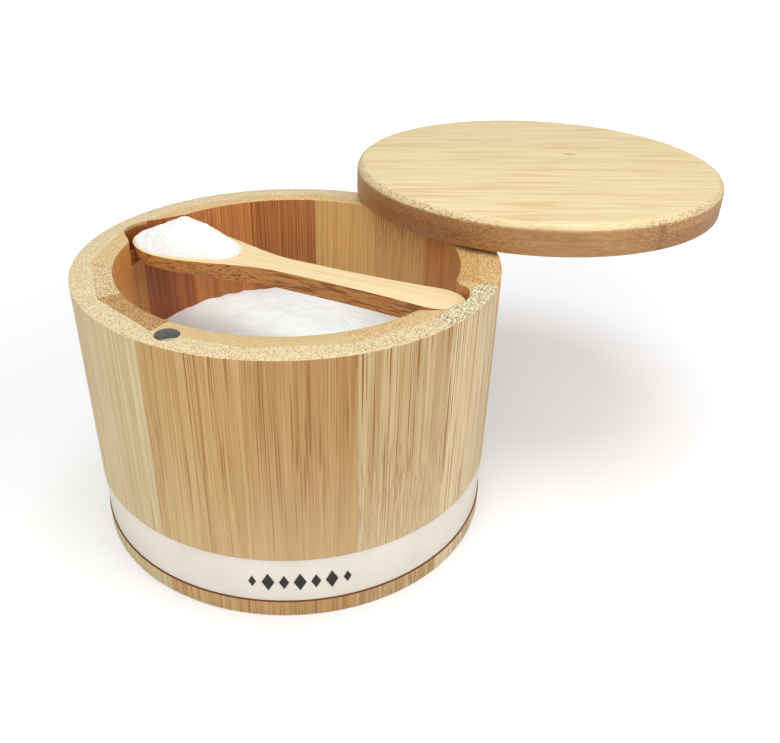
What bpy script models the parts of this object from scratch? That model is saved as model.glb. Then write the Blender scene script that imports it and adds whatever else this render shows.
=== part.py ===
"""Salt jar of laminated bamboo: a round body of mitred two-ply staves, a swivel lid
held by a pin and a magnet, a label band in a groove, and a spoon lying in two pockets.

Metres, +Z up. The origin is the middle of the underside, on the body's axis.
Bearings are measured from the front (-Y) towards +X.
"""

import math

import bmesh
import bpy
from mathutils import Matrix, Vector

# Shared fits
CLEARANCE = 0.0003
CUT_OVERRUN = 0.0020
MERGE_DISTANCE = 0.000003
ROUND_ANGLE = math.radians(30.0)

# Body of staves
BODY_RADIUS = 0.0500
BODY_HEIGHT = 0.0667
WALL_THICKNESS = 0.0095
INNER_PLY_THICKNESS = 0.0041
STAVE_COUNT = 14
STAVE_PHASE = math.radians(-11.3)
STAVE_ARC_STEPS = 8

CUP_RADIUS = BODY_RADIUS - WALL_THICKNESS
PLY_APOTHEM = CUP_RADIUS + INNER_PLY_THICKNESS
RIM_MIDDLE = BODY_RADIUS - WALL_THICKNESS / 2
HALF_STAVE = math.pi / STAVE_COUNT
ROUND_STEPS = STAVE_COUNT * STAVE_ARC_STEPS

# Base lip, groove and label band
BASE_LIP_HEIGHT = 0.0042
GROOVE_HEIGHT = 0.0126
GROOVE_DEPTH = 0.0019
BAND_INSET = 0.0004
BAND_EDGE_ROUND = 0.0003

# Floor
FLOOR_THICKNESS = 0.0070

# Lid: two plies of glued strips
LID_PLY_THICKNESS = 0.0039
LID_ROUNDOVER = 0.0022
LID_UNDER_ROUND = 0.0003
LID_EDGE_STRIP = 0.0056
LID_STRIP_COUNT = 6
LID_ROUNDOVER_STEPS = 4
LID_GRAIN_TURN = math.radians(-133.4)
LID_OPEN_TURN = math.radians(128.5)

# Pivot
PIVOT_BEARING = math.radians(146.4)
PIN_RADIUS = 0.0015
PIN_IN_BODY = 0.0090
PIN_COVER = 0.0032
PIN_END_ROUND = 0.0002
WASHER_RADIUS = 0.0040
WASHER_THICKNESS = 0.0004
SMALL_ROUND_STEPS = 32

LID_GAP = WASHER_THICKNESS + 2 * CLEARANCE
LID_THICKNESS = 2 * LID_PLY_THICKNESS + CLEARANCE
LID_BOTTOM = BODY_HEIGHT + LID_GAP
PIN_IN_LID = LID_THICKNESS - PIN_COVER

# Magnets
MAGNET_BEARING = math.radians(-32.2)
MAGNET_RADIUS = 0.0025
MAGNET_THICKNESS = 0.0030
LID_MAGNET_THICKNESS = 0.0020
MAGNET_CHAMFER = 0.0003

# Spoon, lying on a chord through two pockets
SPOON_TURN = math.radians(-31.8)
SPOON_OFFSET = -0.0018
SPOON_THICKNESS = 0.0043
SPOON_RECESS = 0.0018
SPOON_EDGE_ROUND = 0.0004
BOWL_HALF_WIDTH = 0.0099
NECK_HALF_WIDTH = 0.0038
HANDLE_HALF_WIDTH = 0.00515
HANDLE_END_LENGTH = 0.00665
BOWL_WIDEST_ALONG = 0.0135
BOWL_SHOULDER_PULL = 0.0105
BOWL_TIP_PULL_SHARE = 0.52
NECK_ALONG = 0.0440
NECK_BOWL_PULL = 0.0095
NECK_HANDLE_PULL = 0.0320
HANDLE_PULL = 0.0050
ROUND_PULL_SHARE = 0.55
SPOON_TIP_SHARE = 0.873
SPOON_END_SHARE = 0.900

SPOON_TIP_REACH = BODY_RADIUS * SPOON_TIP_SHARE
SPOON_LENGTH = SPOON_TIP_REACH + BODY_RADIUS * SPOON_END_SHARE
SPOON_TOP = BODY_HEIGHT - SPOON_RECESS
OUTLINE_RESOLUTION = 8

# Plan of the two pockets along and across the spoon, as shares of the body's radius
BOWL_POCKET_SHARES = (
    (-0.600, 0.236), (-0.772, 0.236), (-0.792, 0.196), (-0.824, 0.148), (-0.848, 0.104),
    (-0.886, 0.056), (-0.918, -0.008), (-0.920, -0.062), (-0.914, -0.092), (-0.895, -0.122),
    (-0.866, -0.150), (-0.812, -0.192), (-0.772, -0.228), (-0.600, -0.228))
HANDLE_POCKET_SHARES = (
    (0.680, -0.248), (0.766, -0.248), (0.800, -0.238), (0.820, -0.226), (0.852, -0.204),
    (0.874, -0.180), (0.894, -0.132), (0.912, -0.086), (0.918, -0.036), (0.910, 0.004),
    (0.898, 0.028), (0.884, 0.048), (0.864, 0.066), (0.840, 0.064), (0.824, 0.092),
    (0.800, 0.112), (0.680, 0.112))

# Rounded underside of the bowl, below its upright edge
HULL_EDGE_HEIGHT = 0.0028
HULL_FULL_ALONG = 0.0170
HULL_END_ALONG = 0.0370
HULL_INSET_SHARE = 0.42
HULL_STEPS = 3

# Salt in the cup and on the spoon
SALT_FILL_SHARE = 0.528
SALT_CROWN = 0.0030
SALT_TILT = 0.0015
SALT_HIGH_BEARING = math.radians(-150.0)
SALT_RINGS = 6
SALT_STEPS = 56
SALT_LEVEL = FLOOR_THICKNESS + SALT_FILL_SHARE * (BODY_HEIGHT - FLOOR_THICKNESS)
HEAP_HEIGHT = 0.0068
HEAP_DEPTH = 0.0018
HEAP_HALF_WIDTH = 0.0080
HEAP_START = 0.0012
HEAP_LENGTH = 0.0293
HEAP_TAPER_SHARE = 0.33
HEAP_SLOPE_POWER = 1.35
HEAP_STEPS = 32


def bearing_point(radius, bearing):
    """The plan point at a radius and a bearing."""
    return radius * math.sin(bearing), -radius * math.cos(bearing)


def clear_scene():
    for old in list(bpy.data.objects):
        bpy.data.objects.remove(old, do_unlink=True)


def new_collection(name):
    made = bpy.data.collections.new(name)
    bpy.context.scene.collection.children.link(made)
    return made


def make_material(name, colour, roughness, metallic=0.0):
    made = bpy.data.materials.new(name)
    made.use_nodes = True
    shader = made.node_tree.nodes["Principled BSDF"]
    shader.inputs["Base Color"].default_value = (*colour, 1.0)
    shader.inputs["Roughness"].default_value = roughness
    shader.inputs["Metallic"].default_value = metallic
    made.diffuse_color = (*colour, 1.0)
    return made


def add_part(name, mesh, material, parent=None):
    """A named sub-part in the jar's collection, in its parent's frame."""
    made = bpy.data.objects.new(name, mesh)
    jar.objects.link(made)
    mesh.materials.clear()
    mesh.materials.append(material)
    made.parent = parent
    return made


def add_cutter(name, mesh, parent=None):
    made = bpy.data.objects.new(name, mesh)
    cutters.objects.link(made)
    made.hide_render = True
    made.display_type = "WIRE"
    made.parent = parent
    return made


def add_empty(name, place, turn):
    made = bpy.data.objects.new(name, None)
    jar.objects.link(made)
    made.location = place
    made.rotation_euler = (0.0, 0.0, turn)
    return made


def boolean(part, cutter, operation="DIFFERENCE"):
    step = part.modifiers.new(f"{operation.lower()}_{cutter.name}", "BOOLEAN")
    step.solver = "EXACT"
    step.operation = operation
    step.object = cutter


def finish_mesh(name, shape, smooth_angle=None):
    """Turns a bmesh into a mesh whose faces point outwards."""
    bmesh.ops.recalc_face_normals(shape, faces=shape.faces)
    made = bpy.data.meshes.new(name)
    shape.to_mesh(made)
    shape.free()
    if smooth_angle is not None:
        made.shade_smooth()
        made.set_sharp_from_angle(angle=smooth_angle)
    return made


def disc(name, radius, bottom, top, steps, top_round=0.0, under_round=0.0, round_steps=1,
         phase=0.0):
    """A round plate, with its upper and lower edges rounded if asked."""
    shape = bmesh.new()
    bmesh.ops.create_cone(shape, cap_ends=True, segments=steps, radius1=radius, radius2=radius,
                          depth=top - bottom)
    bmesh.ops.rotate(shape, verts=shape.verts, cent=(0.0, 0.0, 0.0),
                     matrix=Matrix.Rotation(phase, 3, "Z"))
    bmesh.ops.translate(shape, verts=shape.verts, vec=(0.0, 0.0, (top + bottom) / 2))
    middle = (top + bottom) / 2
    for width, upper, segments in ((top_round, True, round_steps), (under_round, False, 1)):
        if width > 0.0:
            rim = [e for e in shape.edges
                   if all((v.co.z > middle) == upper for v in e.verts)]
            bmesh.ops.bevel(shape, geom=rim, offset=width, segments=segments, profile=0.5,
                            affect="EDGES")
    return finish_mesh(name, shape, ROUND_ANGLE)


def turned_ring(name, profile, steps, phase=0.0):
    """A closed profile of (radius, height) points turned about Z."""
    shape = bmesh.new()
    ring = [shape.verts.new((radius, 0.0, height)) for radius, height in profile]
    edges = [shape.edges.new((a, b)) for a, b in zip(ring, ring[1:] + ring[:1])]
    bmesh.ops.rotate(shape, verts=shape.verts, cent=(0.0, 0.0, 0.0),
                     matrix=Matrix.Rotation(phase, 3, "Z"))
    bmesh.ops.spin(shape, geom=ring + edges, cent=(0.0, 0.0, 0.0), axis=(0.0, 0.0, 1.0),
                   angle=2 * math.pi, steps=steps, use_merge=True)
    return finish_mesh(name, shape, ROUND_ANGLE)


def outline_solid(name, outline, bottom, top, handles=None, smooth_angle=None):
    """A closed flat outline, filled and extruded from bottom to top, as one welded mesh.

    With handles, the outline is a Bezier spline and each entry gives a point's two handles.
    """
    curve = bpy.data.curves.new(name, "CURVE")
    curve.dimensions = "2D"
    curve.fill_mode = "BOTH"
    curve.extrude = (top - bottom) / 2
    curve.resolution_u = OUTLINE_RESOLUTION
    spline = curve.splines.new("BEZIER" if handles else "POLY")
    spline.use_cyclic_u = True
    if handles:
        spline.bezier_points.add(len(outline) - 1)
        for point, place, (left, right) in zip(spline.bezier_points, outline, handles):
            point.handle_left_type = point.handle_right_type = "FREE"
            point.co = (*place, 0.0)
            point.handle_left = (*left, 0.0)
            point.handle_right = (*right, 0.0)
    else:
        spline.points.add(len(outline) - 1)
        for point, place in zip(spline.points, outline):
            point.co = (*place, 0.0, 1.0)
    guide = bpy.data.objects.new(name, curve)
    cutters.objects.link(guide)
    evaluated = guide.evaluated_get(bpy.context.evaluated_depsgraph_get())
    flat = bpy.data.meshes.new_from_object(evaluated)
    bpy.data.objects.remove(guide, do_unlink=True)
    shape = bmesh.new()
    shape.from_mesh(flat)
    bmesh.ops.remove_doubles(shape, verts=shape.verts, dist=MERGE_DISTANCE)
    bmesh.ops.translate(shape, verts=shape.verts, vec=(0.0, 0.0, (top + bottom) / 2))
    return finish_mesh(name, shape, smooth_angle)


def arc(radius, half_angle, middle, steps):
    """Points on a circle about the axis, from one side of a bearing to the other."""
    turns = (middle + half_angle * (2 * i / steps - 1) for i in range(steps + 1))
    return [bearing_point(radius, turn) for turn in turns]


def mitre_half_angle(radius):
    """Half the angle that a stave spans at a radius, less half the glue line."""
    return HALF_STAVE - math.asin(CLEARANCE / 2 / radius)


def flat_ends(apothem, middle):
    """The two ends of a stave's glue flat, which stands square to its middle bearing."""
    half_width = apothem * math.tan(HALF_STAVE) - CLEARANCE / 2 / math.cos(HALF_STAVE)
    turn = math.atan2(half_width, apothem)
    reach = math.hypot(half_width, apothem)
    return [bearing_point(reach, middle - turn), bearing_point(reach, middle + turn)]


def stave_outlines(middle):
    """The plan outlines of a stave's outer and inner ply."""
    outer = arc(BODY_RADIUS, mitre_half_angle(BODY_RADIUS), middle, STAVE_ARC_STEPS)
    outer += reversed(flat_ends(PLY_APOTHEM + CLEARANCE / 2, middle))
    inner = flat_ends(PLY_APOTHEM - CLEARANCE / 2, middle)
    inner += reversed(arc(CUP_RADIUS, mitre_half_angle(CUP_RADIUS), middle, STAVE_ARC_STEPS))
    return outer, inner


def make_cutters():
    """The groove, the bores in the rim and the two spoon pockets."""
    groove_inside = BODY_RADIUS - GROOVE_DEPTH
    groove_outside = BODY_RADIUS + CUT_OVERRUN
    groove_top = BASE_LIP_HEIGHT + GROOVE_HEIGHT
    profile = [(groove_outside, groove_top), (groove_outside, BASE_LIP_HEIGHT),
               (groove_inside, BASE_LIP_HEIGHT), (groove_inside, groove_top)]
    made = {"groove": add_cutter("groove_cutter",
                                 turned_ring("groove_cutter", profile, ROUND_STEPS, STAVE_PHASE))}

    rim_over = BODY_HEIGHT + CUT_OVERRUN
    magnet_bore = disc("magnet_bore", MAGNET_RADIUS + CLEARANCE,
                       BODY_HEIGHT - MAGNET_THICKNESS - CLEARANCE, rim_over, SMALL_ROUND_STEPS)
    made["magnet"] = add_cutter("magnet_bore", magnet_bore)
    made["magnet"].location = (*bearing_point(RIM_MIDDLE, MAGNET_BEARING), 0.0)

    pin_bore = disc("pin_bore", PIN_RADIUS + CLEARANCE,
                    BODY_HEIGHT - PIN_IN_BODY - CLEARANCE, rim_over, SMALL_ROUND_STEPS)
    made["pin"] = add_cutter("pin_bore", pin_bore)
    made["pin"].location = (*bearing_point(RIM_MIDDLE, PIVOT_BEARING), 0.0)

    floor = SPOON_TOP - SPOON_THICKNESS - CLEARANCE
    for name, shares in (("bowl_pocket", BOWL_POCKET_SHARES), ("handle_pocket", HANDLE_POCKET_SHARES)):
        outline = [(along * BODY_RADIUS, across * BODY_RADIUS) for along, across in shares]
        made[name] = add_cutter(name, outline_solid(name, outline, floor, rim_over))
        made[name].rotation_euler = (0.0, 0.0, SPOON_TURN)
    return made


def make_staves(cuts):
    """Each stave is two plies that share their mitres; the outer ply carries the groove."""
    tones = ((0.70, 0.50, 0.28), (0.74, 0.55, 0.33), (0.66, 0.46, 0.25))
    for number in range(STAVE_COUNT):
        middle = STAVE_PHASE + HALF_STAVE * (2 * number + 1)
        outlines = stave_outlines(middle)
        for ply, outline in zip(("outer", "inner"), outlines):
            name = f"stave_{ply}_{number + 1:02d}"
            mesh = outline_solid(name, outline, 0.0, BODY_HEIGHT, smooth_angle=ROUND_ANGLE)
            stave = add_part(name, mesh,
                             make_material(f"bamboo_{name}", tones[number % len(tones)], 0.5))
            if ply == "outer":
                boolean(stave, cuts["groove"])
            for cutter_name in ("magnet", "pin", "bowl_pocket", "handle_pocket"):
                if meets(cuts[cutter_name], middle):
                    boolean(stave, cuts[cutter_name])


def meets(cutter, middle):
    """Whether an upright cutter has a corner in the wall, within a stave's bearings."""
    for corner in cutter.data.vertices:
        x, y, _ = cutter.matrix_basis @ corner.co
        away = abs((math.atan2(x, -y) - middle + math.pi) % (2 * math.pi) - math.pi)
        if math.hypot(x, y) > CUP_RADIUS and away < HALF_STAVE:
            return True
    return False


def make_floor_and_band():
    floor = disc("floor_disc", CUP_RADIUS - CLEARANCE, 0.0, FLOOR_THICKNESS, ROUND_STEPS,
                 phase=STAVE_PHASE)
    add_part("floor_disc", floor, make_material("bamboo_floor", (0.72, 0.54, 0.32), 0.55))

    outside = BODY_RADIUS - BAND_INSET
    inside = BODY_RADIUS - GROOVE_DEPTH + CLEARANCE
    low = BASE_LIP_HEIGHT + CLEARANCE
    high = BASE_LIP_HEIGHT + GROOVE_HEIGHT - CLEARANCE
    profile = [(outside - BAND_EDGE_ROUND, high), (outside, high - BAND_EDGE_ROUND),
               (outside, low + BAND_EDGE_ROUND), (outside - BAND_EDGE_ROUND, low),
               (inside, low), (inside, high)]
    add_part("label_band", turned_ring("label_band", profile, ROUND_STEPS, STAVE_PHASE),
             make_material("ivory_silicone", (0.82, 0.77, 0.68), 0.42))


def make_pivot_and_magnets(lid_axis):
    """The pin, its washer and the magnet stand in the rim; the other magnet is in the lid."""
    steel = make_material("pin_steel", (0.62, 0.62, 0.64), 0.30, 1.0)
    pivot = (*bearing_point(RIM_MIDDLE, PIVOT_BEARING), 0.0)
    pin = add_part("pivot_pin",
                   disc("pivot_pin", PIN_RADIUS, BODY_HEIGHT - PIN_IN_BODY, LID_BOTTOM + PIN_IN_LID,
                        SMALL_ROUND_STEPS, PIN_END_ROUND, PIN_END_ROUND), steel)
    pin.location = pivot

    low = BODY_HEIGHT + CLEARANCE
    high = low + WASHER_THICKNESS
    inside = PIN_RADIUS + CLEARANCE
    washer = add_part("pivot_washer",
                      turned_ring("pivot_washer", [(WASHER_RADIUS, high), (WASHER_RADIUS, low),
                                                   (inside, low), (inside, high)],
                                  SMALL_ROUND_STEPS),
                      make_material("washer_nylon", (0.10, 0.09, 0.08), 0.5))
    washer.location = pivot

    nickel = make_material("magnet_nickel", (0.34, 0.34, 0.35), 0.22, 1.0)
    magnet = add_part("rim_magnet",
                      disc("rim_magnet", MAGNET_RADIUS, BODY_HEIGHT - MAGNET_THICKNESS,
                           BODY_HEIGHT, SMALL_ROUND_STEPS, MAGNET_CHAMFER, MAGNET_CHAMFER),
                      nickel)
    magnet.location = (*bearing_point(RIM_MIDDLE, MAGNET_BEARING), 0.0)

    bottom = LID_BOTTOM - BODY_HEIGHT
    lid_magnet = add_part("lid_magnet",
                          disc("lid_magnet", MAGNET_RADIUS, bottom, bottom + LID_MAGNET_THICKNESS,
                               SMALL_ROUND_STEPS, MAGNET_CHAMFER, MAGNET_CHAMFER),
                          nickel, lid_axis)
    lid_magnet.location = from_pivot(RIM_MIDDLE, MAGNET_BEARING)


def from_pivot(radius, bearing):
    """A plan point of the closed lid, in the frame that turns about the pivot."""
    x, y = bearing_point(radius, bearing)
    pivot_x, pivot_y = bearing_point(RIM_MIDDLE, PIVOT_BEARING)
    return x - pivot_x, y - pivot_y, 0.0


def make_lid(lid_axis):
    """Two plies, each of strips side by side; the upper ply carries the rounded edge.

    The lid is modelled closed, about the pivot, and its parent empty turns it open.
    """
    bottom = LID_BOTTOM - BODY_HEIGHT
    split = bottom + LID_PLY_THICKNESS
    top = bottom + LID_THICKNESS
    centre = from_pivot(0.0, 0.0)

    pin_bore = add_cutter("lid_pin_bore",
                          disc("lid_pin_bore", PIN_RADIUS + CLEARANCE, bottom - CUT_OVERRUN,
                               bottom + PIN_IN_LID + CLEARANCE, SMALL_ROUND_STEPS), lid_axis)
    magnet_bore = add_cutter("lid_magnet_bore",
                             disc("lid_magnet_bore", MAGNET_RADIUS + CLEARANCE,
                                  bottom - CUT_OVERRUN,
                                  bottom + LID_MAGNET_THICKNESS + CLEARANCE,
                                  SMALL_ROUND_STEPS), lid_axis)
    magnet_bore.location = from_pivot(RIM_MIDDLE, MAGNET_BEARING)

    inner_strips = LID_STRIP_COUNT - 2
    strip_width = 2 * (BODY_RADIUS - LID_EDGE_STRIP) / inner_strips
    edges = [strip_width * (i - inner_strips / 2) for i in range(inner_strips + 1)]
    edges = [-BODY_RADIUS - CUT_OVERRUN] + edges + [BODY_RADIUS + CUT_OVERRUN]

    plies = (("lower", bottom, split, 0.0, LID_UNDER_ROUND),
             ("upper", split + CLEARANCE, top, LID_ROUNDOVER, 0.0))
    for number, (near, far) in enumerate(zip(edges, edges[1:])):
        inset = CLEARANCE / 2
        reach = BODY_RADIUS + CUT_OVERRUN
        strip_outline = [(-reach, near + inset), (reach, near + inset),
                         (reach, far - inset), (-reach, far - inset)]
        slot = add_cutter(f"strip_guide_{number + 1}",
                          outline_solid(f"strip_guide_{number + 1}", strip_outline,
                                        bottom - CUT_OVERRUN, top + CUT_OVERRUN), lid_axis)
        slot.location = centre
        slot.rotation_euler = (0.0, 0.0, LID_GRAIN_TURN)
        for ply, low, high, top_round, under_round in plies:
            name = f"lid_{ply}_strip_{number + 1}"
            mesh = disc(name, BODY_RADIUS, low, high, ROUND_STEPS, top_round, under_round,
                        LID_ROUNDOVER_STEPS, STAVE_PHASE)
            strip = add_part(name, mesh, make_material(f"bamboo_{name}", (0.84, 0.68, 0.42), 0.42),
                             lid_axis)
            strip.location = centre
            boolean(strip, slot, "INTERSECT")
            if strip_holds((0.0, 0.0), centre, near, far):
                boolean(strip, pin_bore)
            if ply == "lower" and strip_holds(magnet_bore.location, centre, near, far):
                boolean(strip, magnet_bore)


def strip_holds(place, centre, near, far):
    """Whether a plan point of the lid lies between a strip's two edges."""
    away_x, away_y = place[0] - centre[0], place[1] - centre[1]
    across = away_y * math.cos(LID_GRAIN_TURN) - away_x * math.sin(LID_GRAIN_TURN)
    return near < across < far


def spoon_outline():
    """Bezier points and handles of the spoon's plan, tip at zero, handle along +X."""
    shoulder = SPOON_LENGTH - HANDLE_END_LENGTH
    tip_pull = BOWL_HALF_WIDTH * ROUND_PULL_SHARE
    side_pull = HANDLE_END_LENGTH * ROUND_PULL_SHARE
    end_pull = HANDLE_HALF_WIDTH * ROUND_PULL_SHARE
    half = [
        ((0.0, 0.0), (0.0, -tip_pull), (0.0, tip_pull)),
        ((BOWL_WIDEST_ALONG, BOWL_HALF_WIDTH),
         (BOWL_WIDEST_ALONG * (1.0 - BOWL_TIP_PULL_SHARE), BOWL_HALF_WIDTH),
         (BOWL_WIDEST_ALONG + BOWL_SHOULDER_PULL, BOWL_HALF_WIDTH)),
        ((NECK_ALONG, NECK_HALF_WIDTH), (NECK_ALONG - NECK_BOWL_PULL, NECK_HALF_WIDTH),
         (NECK_ALONG + NECK_HANDLE_PULL, NECK_HALF_WIDTH)),
        ((shoulder, HANDLE_HALF_WIDTH), (shoulder - HANDLE_PULL, HANDLE_HALF_WIDTH),
         (shoulder + side_pull, HANDLE_HALF_WIDTH)),
        ((SPOON_LENGTH, 0.0), (SPOON_LENGTH, end_pull), (SPOON_LENGTH, -end_pull)),
    ]
    mirrored = [tuple((x, -y) for x, y in (point, right, left))
                for point, left, right in reversed(half[1:-1])]
    whole = half + mirrored
    return [entry[0] for entry in whole], [(entry[1], entry[2]) for entry in whole]


def heap_mesh(name, grow):
    """An egg-shaped heap about the spoon's top plane, steep above and shallow below.

    Grown by a clearance it is also the cutter of the bowl's hollow.
    """
    half_length = HEAP_LENGTH / 2 + grow
    half_width = HEAP_HALF_WIDTH + grow
    shape = bmesh.new()
    bmesh.ops.create_uvsphere(shape, u_segments=HEAP_STEPS, v_segments=HEAP_STEPS // 2, radius=1.0)
    for v in shape.verts:
        along, across, up = v.co
        away = min(1.0, math.hypot(along, across))
        if up > 0.0:
            height = (HEAP_HEIGHT + grow) * (1.0 - away ** HEAP_SLOPE_POWER)
        else:
            height = (HEAP_DEPTH + grow) * up
        v.co = (HEAP_START + HEAP_LENGTH / 2 + half_length * along,
                half_width * across * (1.0 - HEAP_TAPER_SHARE * along), height)
    return finish_mesh(name, shape, ROUND_ANGLE)


def hull_share(along):
    """How fully the underside is rounded, at a distance from the tip."""
    left = (HULL_END_ALONG - along) / (HULL_END_ALONG - HULL_FULL_ALONG)
    left = max(0.0, min(1.0, left))
    return left * left * (3.0 - 2.0 * left)


def round_underside(blank):
    """Carries the flat underside down in steps that are drawn in below the bowl."""
    shape = bmesh.new()
    shape.from_mesh(blank)
    low = min(v.co.z for v in shape.verts)
    under = [f for f in shape.faces if all(v.co.z < low + MERGE_DISTANCE for v in f.verts)]
    drop = (SPOON_THICKNESS - HULL_EDGE_HEIGHT) / HULL_STEPS
    kept = 1.0
    for step in range(1, HULL_STEPS + 1):
        down = step / HULL_STEPS
        wanted = 1.0 - HULL_INSET_SHARE * (1.0 - math.sqrt(1.0 - down * down))
        made = bmesh.ops.extrude_face_region(shape, geom=under)["geom"]
        bmesh.ops.delete(shape, geom=under, context="FACES")
        under = [part for part in made if isinstance(part, bmesh.types.BMFace)]
        for v in {v for face in under for v in face.verts}:
            drawn_in = hull_share(v.co.x) * (1.0 - wanted / kept)
            v.co.y *= 1.0 - drawn_in
            v.co.x += drawn_in * max(0.0, BOWL_WIDEST_ALONG - v.co.x)
            v.co.z -= drop
        kept = wanted
    return finish_mesh("spoon", shape, ROUND_ANGLE)


def make_spoon(spoon_axis):
    """The plan outline with its underside rounded and its bowl hollowed for the salt."""
    outline, handles = spoon_outline()
    blank = outline_solid("spoon_blank", outline, -HULL_EDGE_HEIGHT, 0.0, handles)
    spoon = add_part("spoon", round_underside(blank),
                     make_material("bamboo_spoon", (0.84, 0.66, 0.40), 0.5), spoon_axis)
    edge = spoon.modifiers.new("eased_edges", "BEVEL")
    edge.width = SPOON_EDGE_ROUND
    edge.segments = 1
    edge.limit_method = "ANGLE"
    edge.angle_limit = math.radians(60.0)

    boolean(spoon, add_cutter("bowl_hollow", heap_mesh("bowl_hollow", CLEARANCE), spoon_axis))

    add_part("spoon_salt", heap_mesh("spoon_salt", 0.0),
             make_material("salt_heaped", (0.94, 0.94, 0.94), 0.8), spoon_axis)


def make_salt_bed():
    """The salt in the cup: turned from a low crown, then tilted a little to the back left."""
    radius = CUP_RADIUS - CLEARANCE
    bottom = FLOOR_THICKNESS + CLEARANCE
    shape = bmesh.new()
    profile = []
    for ring in range(SALT_RINGS + 1):
        away = ring / SALT_RINGS
        rise = SALT_CROWN * (1.0 + math.cos(math.pi * away)) / 2
        profile.append(shape.verts.new((radius * away, 0.0, SALT_LEVEL + rise)))
    profile.append(shape.verts.new((radius, 0.0, bottom)))
    profile.append(shape.verts.new((0.0, 0.0, bottom)))
    edges = [shape.edges.new((a, b)) for a, b in zip(profile, profile[1:])]
    bmesh.ops.spin(shape, geom=profile + edges, cent=(0.0, 0.0, 0.0), axis=(0.0, 0.0, 1.0),
                   angle=2 * math.pi, steps=SALT_STEPS, use_merge=True)
    bmesh.ops.remove_doubles(shape, verts=shape.verts, dist=MERGE_DISTANCE)
    high_x, high_y = bearing_point(SALT_TILT / radius, SALT_HIGH_BEARING)
    for v in shape.verts:
        if v.co.z > (SALT_LEVEL + bottom) / 2:
            v.co.z += v.co.x * high_x + v.co.y * high_y
    add_part("salt_bed", finish_mesh("salt_bed", shape, ROUND_ANGLE),
             make_material("salt_loose", (0.94, 0.94, 0.94), 0.8))


def main():
    lid_axis = add_empty("lid_axis", (*bearing_point(RIM_MIDDLE, PIVOT_BEARING), BODY_HEIGHT),
                         LID_OPEN_TURN)
    along = Matrix.Rotation(SPOON_TURN, 3, "Z")
    tip = along @ Vector((-SPOON_TIP_REACH, SPOON_OFFSET, SPOON_TOP))
    spoon_axis = add_empty("spoon_axis", tip, SPOON_TURN)
    bpy.context.view_layer.update()

    cuts = make_cutters()
    make_staves(cuts)
    make_floor_and_band()
    make_pivot_and_magnets(lid_axis)
    make_lid(lid_axis)
    make_spoon(spoon_axis)
    make_salt_bed()
    bpy.context.view_layer.update()


clear_scene()
jar = new_collection("spice_jar")
cutters = new_collection("cutters")
main()
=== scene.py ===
import math
import random

import bmesh
import bpy
from mathutils import Matrix, Vector, noise


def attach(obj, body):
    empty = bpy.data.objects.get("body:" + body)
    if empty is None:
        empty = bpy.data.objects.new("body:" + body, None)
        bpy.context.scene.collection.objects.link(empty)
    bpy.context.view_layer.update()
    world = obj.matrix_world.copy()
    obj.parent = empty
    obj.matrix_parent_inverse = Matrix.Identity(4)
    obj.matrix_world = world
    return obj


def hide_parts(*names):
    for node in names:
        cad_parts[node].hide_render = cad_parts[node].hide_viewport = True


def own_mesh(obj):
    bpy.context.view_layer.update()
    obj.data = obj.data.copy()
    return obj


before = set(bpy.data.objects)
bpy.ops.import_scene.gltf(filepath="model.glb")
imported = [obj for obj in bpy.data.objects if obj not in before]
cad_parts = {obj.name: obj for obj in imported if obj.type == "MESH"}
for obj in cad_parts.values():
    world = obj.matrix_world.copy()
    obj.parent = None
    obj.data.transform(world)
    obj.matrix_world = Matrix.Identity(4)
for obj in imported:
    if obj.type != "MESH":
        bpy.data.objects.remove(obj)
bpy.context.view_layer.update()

# Sizes shared by several pieces, metres
jar = {
    "radius": 0.0500, "height": 0.0667, "cup": 0.0405, "glueFlat": 0.0446,
    "staves": 14, "firstJoint": math.radians(-11.3), "stepsPerStave": 12,
    "rimMiddle": 0.04525, "joint": 0.00002,
}
# distances below which points count as one, or as lying on a plane or a rim
tiny = {"merge": 0.0000005, "curve": 0.000003, "plane": 0.0000001, "edge": 0.00001}
halfStave = math.pi / jar["staves"]
upAxis = Vector((0.0, 0.0, 1.0))


def bearingPoint(radius, bearing, height=0.0):
    # bearings run from the front (-Y) towards +X
    return Vector((radius * math.sin(bearing), -radius * math.cos(bearing), height))


def staveMiddle(number):
    return jar["firstJoint"] + halfStave * (2 * number - 1)


def hexColour(text):
    # an eyedropper colour as the linear values that sockets hold
    parts = [int(text[i:i + 2], 16) / 255 for i in (0, 2, 4)]
    return [p / 12.92 if p < 0.04045 else ((p + 0.055) / 1.055) ** 2.4 for p in parts] + [1.0]


# mesh helpers

def addObject(name, data):
    made = bpy.data.objects.new(name, data)
    bpy.context.scene.collection.objects.link(made)
    return made


def shadeMesh(mesh, sharpAngle=35.0):
    mesh.shade_smooth()
    mesh.set_sharp_from_angle(angle=math.radians(sharpAngle))


def storeShape(name, shape, sharpAngle):
    mesh = bpy.data.meshes.new(name)
    shape.to_mesh(mesh)
    shape.free()
    shadeMesh(mesh, sharpAngle)
    return addObject(name, mesh)


def finishShape(name, shape, sharpAngle=35.0):
    bmesh.ops.remove_doubles(shape, verts=shape.verts, dist=tiny["merge"])
    bmesh.ops.recalc_face_normals(shape, faces=shape.faces)
    return storeShape(name, shape, sharpAngle)


def evaluatedMesh(piece):
    ready = piece.evaluated_get(bpy.context.evaluated_depsgraph_get())
    return bpy.data.meshes.new_from_object(ready)


def cutWith(piece, cutter):
    # bakes the cut into the mesh, so that only plain meshes are left
    cut = piece.modifiers.new("cut", "BOOLEAN")
    cut.solver = "EXACT"
    cut.object = cutter
    mesh = evaluatedMesh(piece)
    piece.modifiers.clear()
    piece.data = mesh
    shadeMesh(mesh)
    bpy.data.objects.remove(cutter, do_unlink=True)


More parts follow.
